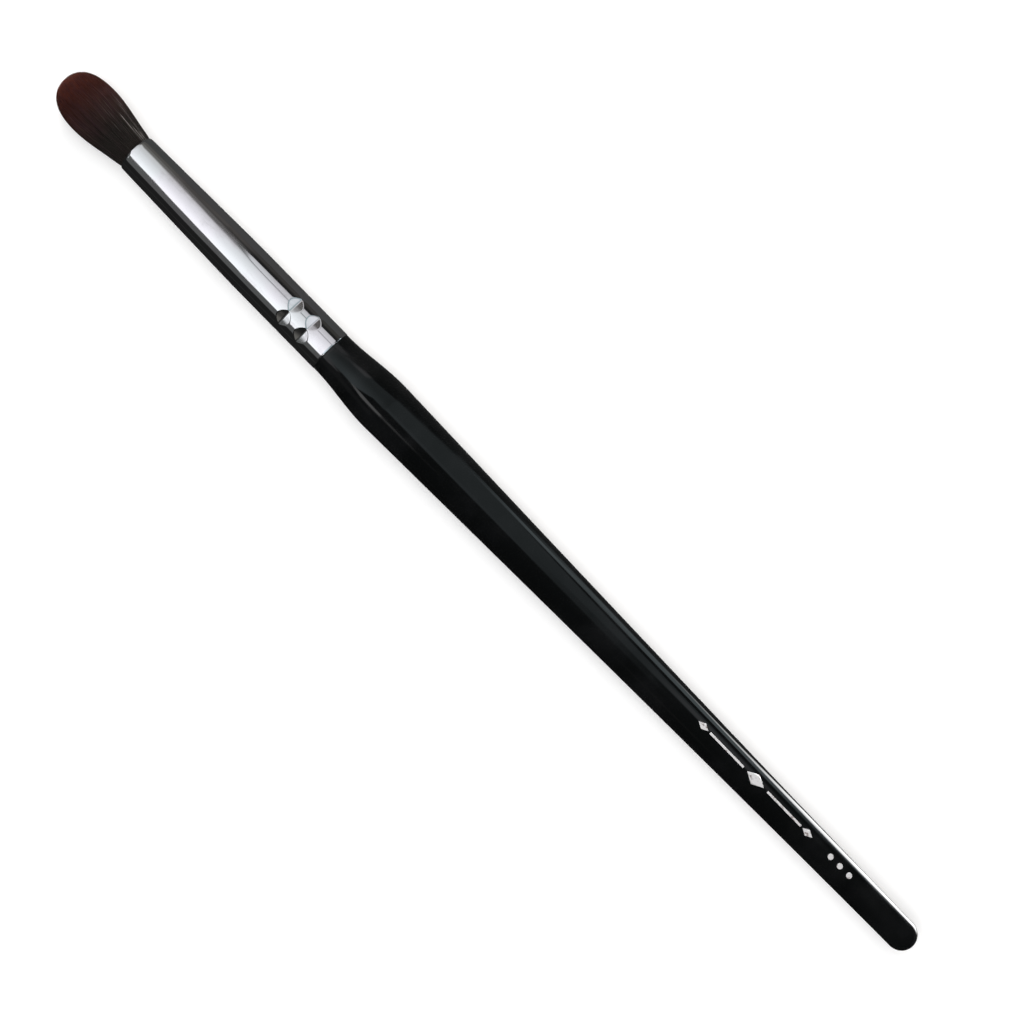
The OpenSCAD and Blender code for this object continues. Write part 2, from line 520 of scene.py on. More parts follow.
@dataclass(frozen=True)
class ThreadFinish(Finish):
    """Natural thread, twisted and a little soiled with adhesive."""

    light: Colour = (0.74, 0.68, 0.55)
    dark: Colour = (0.45, 0.38, 0.26)
    plies: float = 1400.0
    fray: float = 1.5
    fray_octaves: float = 2.0
    soil: Grain = Grain(700, 3, 0.6, 1.0, 0.45, 0.7)
    relief: float = 0.03 * MM
    rough: float = 0.9
    soil_gloss: float = 0.25

    def sockets(self, bench: NodeBench) -> dict[str, Any]:
        """Works out the sockets from the plies' twist and the soiling.

        Args:
            bench: The bench of the material's tree.

        Returns:
            Values and wires by socket name.
        """
        twist = bench.add(
            "ShaderNodeTexWave",
            {"bands_direction": "DIAGONAL"},
            {
                "Vector": bench.place(),
                "Scale": self.plies,
                "Distortion": self.fray,
                "Detail": self.fray_octaves,
            },
            output="Fac",
        )
        soil = bench.grain(self.soil)
        return {
            "Base Color": bench.blend(soil, self.light, self.dark),
            "Roughness": self.rough - self.soil_gloss * soil,
            "Normal": bench.bump(twist, self.relief),
        }


@dataclass(frozen=True)
class AdhesiveFinish(Finish):
    """Set amber adhesive with small bubbles near its surface."""

    clear: Colour = (0.60, 0.43, 0.15)
    cloudy: Colour = (0.70, 0.58, 0.33)
    clouded: Grain = Grain(500, 3, 0.6, 1.0, 0.4, 0.66)
    bubbles: float = 2600.0
    bubble_rim: float = 0.3
    relief: float = 0.02 * MM
    rough: float = 0.16
    cloud_rough: float = 0.2

    def sockets(self, bench: NodeBench) -> dict[str, Any]:
        """Works out the sockets from the adhesive's clouding and bubbles.

        Args:
            bench: The bench of the material's tree.

        Returns:
            Values and wires by socket name.
        """
        cloud = bench.grain(self.clouded)
        bubbles = bench.add(
            "ShaderNodeTexVoronoi",
            {"feature": "SMOOTH_F1"},
            {"Vector": bench.place(), "Scale": self.bubbles},
            output="Distance",
        ).ramp(0.0, self.bubble_rim)
        return {
            "Base Color": bench.blend(cloud, self.clear, self.cloudy),
            "Roughness": self.rough + self.cloud_rough * cloud,
            "Normal": bench.bump(bubbles, self.relief),
        }


@dataclass(frozen=True)
class GlowFinish(Finish):
    """Light given off by a studio card, as its mesh's glow attribute says."""

    def shader(self, bench: NodeBench) -> Wire:
        """Adds the card's emission.

        Args:
            bench: The bench of the material's tree.

        Returns:
            The shader.
        """
        glow = bench.add("ShaderNodeAttribute", {"attribute_name": "glow"}, output="Color")
        return bench.add("ShaderNodeEmission", sockets={"Color": glow})


@dataclass(frozen=True)
class FloorFinish(Finish):
    """White studio paper that keeps the brush's shadow, lifted to white for camera and gloss."""

    paper: Colour = (0.8, 0.8, 0.8)
    near: float = 0.15
    far: float = 0.5
    lift: float = 0.27

    def shader(self, bench: NodeBench) -> Wire:
        """Adds the paper, and its lift where the camera or gloss sees it.

        Args:
            bench: The bench of the material's tree.

        Returns:
            The shader.
        """
        own = bench.add("ShaderNodeTexCoord", output="Object")
        away = bench.add("ShaderNodeVectorMath", {"operation": "LENGTH"}, {0: own}, output="Value")
        matt = bench.add("ShaderNodeBsdfDiffuse", sockets={"Color": (*self.paper, 1.0)})
        lift = away.ramp(self.near, self.far, self.lift, 1.0)
        fill = bench.add("ShaderNodeEmission", sockets={"Color": lift})
        lifted = bench.add("ShaderNodeAddShader", sockets={0: matt, 1: fill})
        return bench.add("ShaderNodeMixShader", sockets={0: bench.seen(), 1: matt, 2: lifted})


BRISTLE = BristleFinish("burgundy_bristle")
# Painted shade: the core under the outer strands is darkened for the shade between packed
# filaments.
CORE = BristleFinish("bristle_depth_shaded", shade_dimming=0.45)
PLATE = PlateFinish("nickel_plate")
LACQUER = LacquerFinish("black_lacquer")
FOIL = FoilFinish("silver_foil")
THREAD = ThreadFinish("binding_thread")
ADHESIVE = AdhesiveFinish("amber_adhesive")
GLOW = GlowFinish("card_glow")
PAPER = FloorFinish("floor_paper")


# Mesh making


@dataclass(frozen=True)
class Datum:
    """Places along the brush that every sub-assembly is measured from, read from the CAD frame."""

    tip_x: float
    mouth_x: float
    seam_x: float
    tail_x: float
    axis_z: float

    @classmethod
    def from_frame(cls) -> "Datum":
        """Returns the places that the CAD nodes' boxes give."""
        tuft, tube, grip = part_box("bristle_tuft"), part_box("ferrule"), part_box("handle")
        return cls(tuft[1].x, tube[1].x, tube[0].x, grip[0].x, (grip[0].z + grip[1].z) / 2)


def make_mesh(name: str, points: np.ndarray, faces: Sequence[np.ndarray]) -> bpy.types.Object:
    """Makes a smooth-shaded mesh object.

    Args:
        name: Name of the object and its mesh.
        points: Places of the vertices, one row each.
        faces: Arrays of vertex numbers, one row for each face, with one array for each face size.

    Returns:
        The object, linked to the scene.
    """
    corners = np.concatenate([f.ravel() for f in faces]).astype(np.int32)
    sizes = np.concatenate([np.full(len(f), f.shape[1]) for f in faces])
    mesh = bpy.data.meshes.new(name)
    mesh.vertices.add(len(points))
    mesh.vertices.foreach_set("co", points.astype(np.float32).ravel())
    mesh.loops.add(len(corners))
    mesh.loops.foreach_set("vertex_index", corners)
    mesh.polygons.add(len(sizes))
    mesh.polygons.foreach_set("loop_start", (np.cumsum(sizes) - sizes).astype(np.int32))
    mesh.update(calc_edges=True)
    mesh.validate()
    mesh.shade_smooth()
    made = bpy.data.objects.new(name, mesh)
    bpy.context.scene.collection.objects.link(made)
    return made


def mark_points(made: bpy.types.Object, name: str, values: np.ndarray) -> None:
    """Gives each vertex a value that a finish can read.

    Args:
        made: The mesh object.
        name: Name of the attribute.
        values: One value for each vertex.
    """
    layer = made.data.attributes.new(name, "FLOAT", "POINT")
    layer.data.foreach_set("value", values.astype(np.float32).ravel())


def paint_points(made: bpy.types.Object, name: str, colours: np.ndarray) -> None:
    """Gives each vertex a colour that a finish can read.

    Args:
        made: The mesh object.
        name: Name of the attribute.
        colours: Red, green and blue of each vertex.
    """
    layer = made.data.attributes.new(name, "FLOAT_COLOR", "POINT")
    flat = colours.reshape(-1, 3)
    opaque = np.concatenate([flat, np.ones((len(flat), 1))], axis=1)
    layer.data.foreach_set("color", opaque.astype(np.float32).ravel())


def map_points(made: bpy.types.Object, name: str, places: np.ndarray) -> None:
    """Lays a mesh out on a flat map.

    Args:
        made: The mesh object.
        name: Name of the map.
        places: Place of each vertex on the map, from 0 to 1 both ways.
    """
    corners = np.empty(len(made.data.loops), dtype=np.int32)
    made.data.loops.foreach_get("vertex_index", corners)
    layer = made.data.uv_layers.new(name=name)
    layer.uv.foreach_set("vector", places[corners].astype(np.float32).ravel())


def ease(value: np.ndarray, low: float, high: float) -> np.ndarray:
    """Gives a smooth step.

    Args:
        value: Values to map.
        low: Value that gives 0.
        high: Value that gives 1.

    Returns:
        Shares from 0 to 1.
    """
    t = np.clip((value - low) / (high - low), 0, 1)
    return t * t * (3 - 2 * t)


def around(x: np.ndarray, radius: np.ndarray, turn: np.ndarray, axis_z: float) -> np.ndarray:
    """Places points round the brush's axis.

    Args:
        x: Place along the axis.
        radius: Distance from the axis.
        turn: Turn from straight up towards -Y.
        axis_z: Height of the axis.

    Returns:
        The points, with x, y and z along the last axis.
    """
    x, radius, turn = np.broadcast_arrays(x, radius, turn)
    return np.stack([x, -radius * np.sin(turn), axis_z + radius * np.cos(turn)], axis=-1)


def quarter(count: int) -> np.ndarray:
    """Returns evenly spaced angles from 0 to a right angle."""
    return np.linspace(0, math.pi / 2, count)


def ring_faces(rings: int, sides: int, looped: bool) -> np.ndarray:
    """Numbers the quads between rings of vertices.

    Args:
        rings: Number of rings.
        sides: Vertices in a ring.
        looped: Whether the last ring joins the first.

    Returns:
        One row of four vertex numbers for each quad.
    """
    i = np.arange(rings if looped else rings - 1)[:, None]
    j = np.arange(sides)[None, :]
    here, there = i * sides, (i + 1) % rings * sides
    near, far = j, (j + 1) % sides
    return np.stack([here + near, here + far, there + far, there + near], axis=-1).reshape(-1, 4)


def grid_faces(rows: int, columns: int) -> np.ndarray:
    """Numbers the quads of an open grid of vertices.

    Args:
        rows: Rows of vertices.
        columns: Vertices in a row.

    Returns:
        One row of four vertex numbers for each quad.
    """
    i, j = np.meshgrid(np.arange(rows - 1), np.arange(columns - 1), indexing="ij")
    first = (i * columns + j).ravel()
    return np.stack([first, first + 1, first + columns + 1, first + columns], axis=-1)


def turned_skin(
    name: str, x: np.ndarray, radius: np.ndarray, sides: int, axis_z: float, looped: bool
) -> bpy.types.Object:
    """Makes a closed surface turned about the brush's axis.

    Args:
        name: Name of the object.
        x: Place of each ring along the axis. On an outer surface it grows from ring to ring.
        radius: Radius at each ring and side, or one radius for each ring.
        sides: Vertices in a ring.
        axis_z: Height of the axis.
        looped: True where the rings run back to the first, as round a tube's wall. Otherwise
            the ends are closed on the axis.

    Returns:
        The object.
    """
    turn = np.arange(sides) * math.tau / sides
    if radius.ndim == 1:
        radius = radius[:, None]
    points = around(x[:, None], radius, turn[None, :], axis_z).reshape(-1, 3)
    rings = len(x)
    faces = [ring_faces(rings, sides, looped)]
    if not looped:
        side = np.arange(sides)
        after = (side + 1) % sides
        first, last = rings * sides, rings * sides + 1
        centres = [[x[0], 0, axis_z], [x[-1], 0, axis_z]]
        points = np.concatenate([points, centres])
        start = np.stack([np.full(sides, first), after, side], axis=-1)
        base = (rings - 1) * sides
        end = np.stack([np.full(sides, last), base + side, base + after], axis=-1)
        faces.append(np.concatenate([start, end]))
    return make_mesh(name, points, faces)


def seat(
    piece: bpy.types.Object, finish: Finish, nodes: Sequence[str] = ()
) -> bpy.types.Object:
    """Dresses a piece and fixes it to the brush.

    Args:
        piece: The mesh object.
        finish: Its finish.
        nodes: CAD nodes that it stands for.

    Returns:
        The piece.
    """
    piece.data.materials.append(finish.material())
    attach(piece, "root")
    if nodes:
        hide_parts(*nodes)
    return piece


# Bristle head


@dataclass(frozen=True)
class Glint:
    """Stretch of one outer strand with a painted glint, and its place beside the axis."""

    aside: float
    low: float
    high: float
    strength: float

    def fade(self, height: np.ndarray, share: float) -> np.ndarray:
        """Gives the painted glint's strength along the strand, which fades in and out at its ends.

        Args:
            height: Heights above the mouth.
            share: Half of each fade's length, as a share of the stretch.

        Returns:
            The strength at each height.
        """
        edge = share * (self.high - self.low)
        rising = ease(height, self.low - edge, self.low + edge)
        return self.strength * rising * (1 - ease(height, self.high - edge, self.high + edge))


@dataclass
class BristleHead:
    """Dense round head of fine filaments that flares from the ferrule to a domed crown.

    A strand's share is its place between the axis, at 0, and the head's surface, at 1. Sway and
    wave are turns in radians. Each column of the bake map holds many strands of one tone, or one
    strand with a painted glint.
    """

    datum: Datum
    throat_r: float = 2.6 * MM
    spill: float = 0.36 * MM
    spill_len: float = 0.16 * MM
    full_r: float = 4.17 * MM
    flare_power: float = 1.3
    crown_len: float = 5.9 * MM
    crown_power: float = 2.4
    crown_least: float = 0.001
    inward_bend: float = 0.4
    strands: int = 9000
    outer_share: float = 0.86
    sunk: float = 0.8 * MM
    buried: float = 3.4 * MM
    strand_reach: float = 0.046 * MM
    point_len: float = 1.8 * MM
    tip_scatter: float = 0.06 * MM
    share_scatter: float = 0.003
    share_limit: float = 0.998
    ring_crowding: float = 1.35
    sway: float = 0.015
    wave: float = 0.005
    wave_len: float = 2.6 * MM
    taper_power: float = 0.6
    point_share: float = 0.16
    thinnest: float = 0.8
    locks: int = 170
    lock_share: float = 0.35
    coat_rings: int = 12
    crown_rings: int = 4
    core_sides: int = 120
    core_rings: int = 16
    core_depth: float = 1.1 * MM
    core_share: float = 0.91
    columns: int = 256
    # Painted highlights: stretches of outer strands whose colour is blended towards a light colour.
    painted_glints: tuple[Glint, ...] = (
        Glint(1.90 * MM, 3.0 * MM, 4.8 * MM, 1.0),
        Glint(1.88 * MM, 0.3 * MM, 3.4 * MM, 0.38),
        Glint(2.02 * MM, 0.0 * MM, 1.6 * MM, 0.12),
        Glint(2.14 * MM, -0.3 * MM, 2.4 * MM, 0.34),
        Glint(2.25 * MM, -0.3 * MM, 1.2 * MM, 0.12),
        Glint(2.38 * MM, -0.3 * MM, 1.6 * MM, 0.36),
        Glint(2.50 * MM, 0.2 * MM, 3.0 * MM, 0.10),
        Glint(2.62 * MM, 1.4 * MM, 4.4 * MM, 0.12),
        Glint(2.68 * MM, 4.2 * MM, 6.2 * MM, 0.13),
        Glint(2.90 * MM, 5.2 * MM, 7.2 * MM, 0.12),
        Glint(0.35 * MM, 3.6 * MM, 4.6 * MM, 0.05),
        Glint(0.90 * MM, 4.6 * MM, 5.8 * MM, 0.06),
        Glint(0.62 * MM, 5.8 * MM, 7.0 * MM, 0.05),
        Glint(1.35 * MM, 6.2 * MM, 7.4 * MM, 0.05),
        Glint(1.10 * MM, 2.0 * MM, 3.0 * MM, 0.05),
        Glint(-0.30 * MM, 5.0 * MM, 6.2 * MM, 0.04),
    )
    glint_share: float = 0.97
    glint_edge: float = 0.98
    glint_lean: float = 0.075
    glint_fade: float = 0.18
    map_start: float = 0.1
    map_span: float = 0.88
    seed: int = 17

    def __post_init__(self) -> None:
        """Works out the head's length and the height of its widest place above the mouth."""
        self.length = self.datum.tip_x - self.datum.mouth_x
        self.widest = self.length - self.crown_len
        self.rng = np.random.default_rng(self.seed)

    def outline(self, height: np.ndarray) -> np.ndarray:
        """Gives the head's radius.

        Args:
            height: Heights above the mouth.

        Returns:
            The surface radius at each height.
        """
        up = np.clip(height, 0, None)
        spread = self.spill * (1 - np.exp(-up / self.spill_len))
        flare = np.sin(math.pi / 2 * np.clip(up / self.widest, 0, 1) ** self.flare_power)
        side = self.throat_r + spread + (self.full_r - self.throat_r - self.spill) * flare
        climb = np.clip((height - self.widest) / self.crown_len, 0, 1)
        crown = (1 - climb**self.crown_power) ** (1 / self.crown_power)
        return side * crown

    def path_radius(self, height: np.ndarray, share: np.ndarray) -> np.ndarray:
        """Gives the radius at which strands run: they bend in a little below the crown.

        Args:
            height: Heights above the mouth.
            share: Each strand's share of the head's radius.

        Returns:
            The strands' distance from the axis.
        """
        full = self.outline(np.minimum(height, self.widest))
        crown = np.maximum(self.outline(height) / full, self.crown_least)
        return share * (full - self.strand_reach) * crown**self.inward_bend

    def tip_height(self, share: np.ndarray) -> np.ndarray:
        """Gives the height at which a strand meets the crown.

        Args:
            share: Each strand's share of the head's radius.

        Returns:
            The height of the strands' tips above the mouth.
        """
        reach = share ** (self.crown_power / (1 - self.inward_bend))
        return self.widest + self.crown_len * (1 - reach) ** (1 / self.crown_power)

    def tones(self, turn: np.ndarray) -> np.ndarray:
        """Draws a tone for each strand, part of it shared with the strands beside it.

        Args:
            turn: Each strand's turn about the axis.

        Returns:
            Tones from 0 to 1.
        """
        locks = self.rng.random(self.locks)
        shared = locks[(turn % math.tau / math.tau * len(locks)).astype(int)]
        return self.lock_share * shared + (1 - self.lock_share) * self.rng.random(len(turn))

    def choose_glint_strands(self, turn: np.ndarray, share: np.ndarray) -> list[tuple[int, Glint]]:
        """Chooses an outer strand for each painted glint.

        Args:
            turn: Each strand's turn about the axis.
            share: Each strand's share of the head's radius.

        Returns:
            Number of the strand and its glint.
        """
        free = share > self.glint_share
        chosen = []
        for glint in self.painted_glints if free.any() else ():
            middle = (glint.low + glint.high) / 2
            ideal = np.arcsin((glint.aside + self.glint_lean * middle) / self.outline(middle))
            apart = np.abs((turn - ideal + math.pi) % math.tau - math.pi)
            strand = int(np.argmin(np.where(free, apart, np.inf)))
            free[strand] = False
            chosen.append((strand, glint))
        return chosen

    def strand_heights(self, share: np.ndarray, rings: int) -> np.ndarray:
        """Gives the heights of the strands' rings, which crowd towards their tips.

        Args:
            share: Each strand's share of the head's radius.
            rings: Rings of vertices along each strand, besides its tip.

        Returns:
            Heights above the mouth, one row for each strand, with its tip last.
        """
        tip = self.tip_height(share) + self.rng.normal(0, self.tip_scatter, len(share))
        tip = np.minimum(tip, self.length)
        start = np.where(share > self.outer_share, -self.sunk, tip - self.buried)
        step = 1 - (1 - np.linspace(0, 1, rings + 1)) ** self.ring_crowding
        return start[:, None] + (tip - start)[:, None] * step

    def strand_points(self, height: np.ndarray, radius: np.ndarray, turn: np.ndarray) -> np.ndarray:
        """Puts three corners round each ring of the strands, and one point on each tip.

        Args:
            height: Heights of each strand's rings and tip above the mouth.
            radius: Distance of each from the head's axis.
            turn: Turn of each about the axis.

        Returns:
            The points, one row of them for each strand.
        """
        count = len(height)
        centre = around(self.datum.mouth_x + height, radius, turn, self.datum.axis_z)
        squeeze = self.outline(np.minimum(height, self.widest)) / self.full_r
        left = np.clip((height[:, -1:] - height) / self.point_len, 0.0, 1.0)
        taper = self.point_share + (1 - self.point_share) * left**self.taper_power
        reach = self.strand_reach * squeeze * taper
        reach = reach * self.rng.uniform(self.thinnest, 1.0, (count, 1))
        spin = self.rng.uniform(0, math.tau, (count, 1, 1)) + np.arange(3) * math.tau / 3
        offset = np.stack([np.zeros_like(spin), -np.sin(spin), np.cos(spin)], axis=-1)
        corners = centre[:, :-1, None, :] + reach[:, :-1, None, None] * offset
        return np.concatenate([corners.reshape(count, -1, 3), centre[:, -1:]], axis=1)

    @staticmethod
    def strand_faces(count: int, rings: int) -> list[np.ndarray]:
        """Numbers the faces of closed three-sided strands.

        Args:
            count: Number of strands.
            rings: Rings of vertices along each strand, besides its tip.

        Returns:
            The quads of the sides, and the triangles of the feet and tips.
        """
        each = rings * 3 + 1
        first = np.arange(count)[:, None, None] * each
        foot = [[2, 1, 0]]
        last = (rings - 1) * 3
        tip = [[last + k, last + (k + 1) % 3, each - 1] for k in range(3)]
        sides = (first + ring_faces(rings, 3, False)[None]).reshape(-1, 4)
        return [sides, (first + np.array(foot + tip)[None]).reshape(-1, 3)]

    def strand_mesh(self, name: str, order: np.ndarray, rings: int) -> bpy.types.Object:
        """Makes one mesh of tapered three-sided strands.

        Args:
            name: Name of the object.
            order: Places of the strands in the head's spiral.
            rings: Rings of vertices along each strand, besides its tip.

        Returns:
            The object, with tone, rise and glint on its vertices.
        """
        count = len(order)
        share = np.sqrt((order + 0.5) / self.strands)
        share = share + self.rng.normal(0, self.share_scatter, count)
        share = np.minimum(share, self.share_limit)
        turn = order * GOLDEN_TURN
        height = self.strand_heights(share, rings)
        radius = self.path_radius(height, share[:, None])
        sway = self.rng.normal(0, self.sway, (count, 1)) * (height / self.length)
        phase = self.rng.uniform(0, math.tau, (count, 1))
        swung = turn[:, None] + sway + self.wave * np.sin(height / self.wave_len + phase)
        # Painted highlight: chosen outer strands run along a line and carry a glint painted into
        # their colour.
        glow = np.zeros_like(height)
        for strand, glint in self.choose_glint_strands(turn, share):
            radius[strand] = self.path_radius(height[strand], np.array(1.0))
            aside = glint.aside + self.glint_lean * height[strand]
            swung[strand] = np.arcsin(np.minimum(aside / radius[strand], self.glint_edge))
            glow[strand] = glint.fade(height[strand], self.glint_fade)
        points = self.strand_points(height, radius, swung)
        made = make_mesh(name, points.reshape(-1, 3), self.strand_faces(count, rings))
        self.mark_strands(made, turn, height, glow, rings)
        return made

    def mark_strands(
        self,
        made: bpy.types.Object,
        turn: np.ndarray,
        height: np.ndarray,
        glow: np.ndarray,
        rings: int,
    ) -> None:
        """Gives strands their tone, rise and glint, and lays each out in a column of the bake map.

        Args:
            made: The strands' object.
            turn: Each strand's turn about the axis.
            height: Heights of each strand's rings and tip above the mouth.
            glow: How strongly each ring carries the painted glint.
            rings: Rings of vertices along each strand, besides its tip.
        """
        plain = self.columns - len(self.painted_glints)
        column = np.floor(self.tones(turn) * plain)
        shining = np.flatnonzero(glow.max(axis=1) > 0)
        column[shining] = plain + np.arange(len(shining))
        spread = np.r_[np.repeat(np.arange(rings), 3), rings]
        side = np.r_[np.tile(np.arange(3), rings), 1]
        rise = (height / self.length)[:, spread]
        mark_points(made, "tone", np.repeat((column + 0.5) / self.columns, len(spread)))
        mark_points(made, "rise", rise)
        mark_points(made, "glint", glow[:, spread])
        across = (column[:, None] + (side[None, :] + 1) / 4) / self.columns
        up = self.map_start + self.map_span * np.clip(rise, -self.map_start, 1)
        map_points(made, "OFBake", np.stack([across, up], axis=-1).reshape(-1, 2))

    def core_mesh(self) -> bpy.types.Object:
        """Makes the closed body of packed filaments that lies just under the outer strands.

        Returns:
            The object, with tone, rise and glint on its vertices.
        """
        sides, rings = self.core_sides, self.core_rings
        top = self.length - self.core_depth
        rise = np.concatenate([[-self.sunk], np.linspace(0, self.widest, rings, endpoint=False)])
        bend = np.sin(quarter(rings))
        height = np.concatenate([rise, self.widest + (top - self.widest) * bend[:-1]])
        stretched = np.where(
            height > self.widest,
            self.widest + (height - self.widest) * self.crown_len / (top - self.widest),
            height,
        )
        radius = self.core_share * self.outline(stretched)
        x = self.datum.mouth_x + height
        made = turned_skin("bristle_core", x, radius, sides, self.datum.axis_z, False)
        turn = np.arange(sides) * math.tau / sides
        tone = np.tile(self.tones(turn), len(height))
        mark_points(made, "tone", np.r_[tone, 0.5, 0.5])
        mark_points(made, "rise", np.r_[np.repeat(height / self.length, sides), 0, 1])
        mark_points(made, "glint", np.zeros(len(made.data.vertices)))
        return made

    def build(self) -> list[bpy.types.Object]:
        """Builds the head.

        Returns:
            The core, the outer strands and the crown's strands.
        """
        order = np.arange(self.strands)
        outer = np.sqrt((order + 0.5) / self.strands) > self.outer_share
        core = seat(self.core_mesh(), CORE, ["bristle_tuft"])
        coat = self.strand_mesh("bristle_coat", order[outer], self.coat_rings)
        crown = self.strand_mesh("bristle_crown", order[~outer], self.crown_rings)
        return [core] + [seat(p, BRISTLE, ["bristle_tuft"]) for p in (coat, crown)]


# Ferrule and handle


@dataclass(frozen=True)
class Crimps:
    """Two rings of jaw marks that press the ferrule into the handle's tenon.

    Each jaw leaves a valley between two flat facets, which stand up by crown in their middle.
    """

    jaws: int = 8
    depth: float = 0.3 * MM
    width: float = 2.5 * MM
    start: float = 4.3 * MM
    pitch: float = 3.6 * MM
    ridge_turn: float = math.radians(-3)
    valley_round: float = 0.05 * MM
    edge_round: float = 0.007 * MM
    crown: float = 0.015 * MM

    def press(
        self, along: np.ndarray, turn: np.ndarray, radius: np.ndarray, full_r: float
    ) -> np.ndarray:
        """Presses a surface in where the jaws bite.

        Args:
            along: Distance from the ferrule's handle end.
            turn: Turn about the axis.
            radius: Radius of the surface before crimping.
            full_r: Radius of the straight barrel on that surface.

        Returns:
            The radius after crimping.
        """
        facet = math.tau / self.jaws
        off = (turn - self.ridge_turn) % facet - facet / 2
        slope = self.depth / (self.width / 2)
        for ring in (0, 1):
            apart = along - self.start - ring * self.pitch
            rise = np.sqrt((apart * slope) ** 2 + (self.valley_round * slope) ** 2)
            limit = (full_r - self.depth + rise) / np.cos(off)
            limit = limit + self.crown * (1 - (off / (facet / 2)) ** 2)
            soft = self.edge_round
            radius = -soft * np.logaddexp(-radius / soft, -limit / soft)
        return radius


@dataclass
class Ferrule:
    """Nickel-plated tube: straight barrel with crimps, long cone and rolled lip."""

    datum: Datum
    crimps: Crimps = field(default_factory=Crimps)
    barrel_r: float = 3.44 * MM
    barrel_len: float = 17.2 * MM
    mouth_r: float = 3.04 * MM
    wall: float = 0.3 * MM
    lip_len: float = 1.0 * MM
    lip_roll: float = 0.14 * MM
    rim_round: float = 0.12 * MM
    cone_blend: float = 4.0 * MM
    inner_chamfer: float = 0.05 * MM
    fold_margin: float = 0.2
    crimped_start: float = 0.3 * MM
    crimped_end: float = 12.0 * MM
    cone_start: float = 12.5 * MM
    rim_rings: int = 6
    crimped_rings: int = 150
    cone_rings: int = 60
    lip_rings: int = 10
    edge_rings: int = 9
    sides: int = 240

    def outer_outline(self) -> np.ndarray:
        """Gives the outside, from the rounded rim at the handle to the lip.

        Returns:
            Distance from the handle end and radius, one row for each ring.
        """
        length = self.datum.mouth_x - self.datum.seam_x
        soft, bend = self.rim_round, quarter(self.rim_rings)
        rim = np.stack([soft - soft * np.cos(bend), self.barrel_r - soft + soft * np.sin(bend)], 1)
        crimped = np.linspace(self.crimped_start, self.crimped_end, self.crimped_rings)
        cone = np.linspace(self.cone_start, length - self.lip_len, self.cone_rings)
        along = np.concatenate([crimped, cone])
        past = along - self.barrel_len
        knee = np.sqrt(past**2 + self.cone_blend**2 / 4) - self.cone_blend / 2
        run = np.maximum((past + knee) / 2, 0)
        drop = (self.barrel_r - self.mouth_r) * run / run[-1]
        tube = np.stack([along, self.barrel_r - drop], 1)
        roll = quarter(self.lip_rings)[1:-1]
        lip_x = length - self.lip_len * (1 - np.sin(roll))
        lip_r = self.mouth_r - self.lip_roll * (1 - np.cos(roll))
        return np.concatenate([rim, tube, np.stack([lip_x, lip_r], 1)])

    def build(self) -> list[bpy.types.Object]:
        """Builds the tube as one closed wall, with half as many rings inside as outside.

        Returns:
            The ferrule.
        """
        outer = self.outer_outline()
        length = self.datum.mouth_x - self.datum.seam_x
        edge_r = self.mouth_r - self.lip_roll
        fold = np.linspace(self.fold_margin, math.pi - self.fold_margin, self.edge_rings)
        half = self.wall / 2
        edge_x = length - half + half * np.sin(fold)
        edge = np.stack([edge_x, edge_r - half + half * np.cos(fold)], 1)
        outer = outer[outer[:, 0] < length - half]
        inner = outer[::-2] - [0, self.wall]
        inner = inner[inner[:, 0] > self.rim_round]
        bore_r = self.barrel_r - self.wall
        start = [[self.inner_chamfer, bore_r], [0.0, bore_r + self.inner_chamfer]]
        loop = np.concatenate([outer, edge, inner, start])
        inset = np.zeros(len(loop))
        inset[len(outer) + len(edge) // 2 :] = self.wall
        turn = np.arange(self.sides) * math.tau / self.sides
        along, full = loop[:, :1], (self.barrel_r - inset)[:, None]
        radius = self.crimps.press(along, turn[None, :], loop[:, 1:], full)
        x = self.datum.seam_x + loop[:, 0]
        tube = turned_skin("ferrule_tube", x, radius, self.sides, self.datum.axis_z, True)
        return [seat(tube, PLATE, ["ferrule"])]


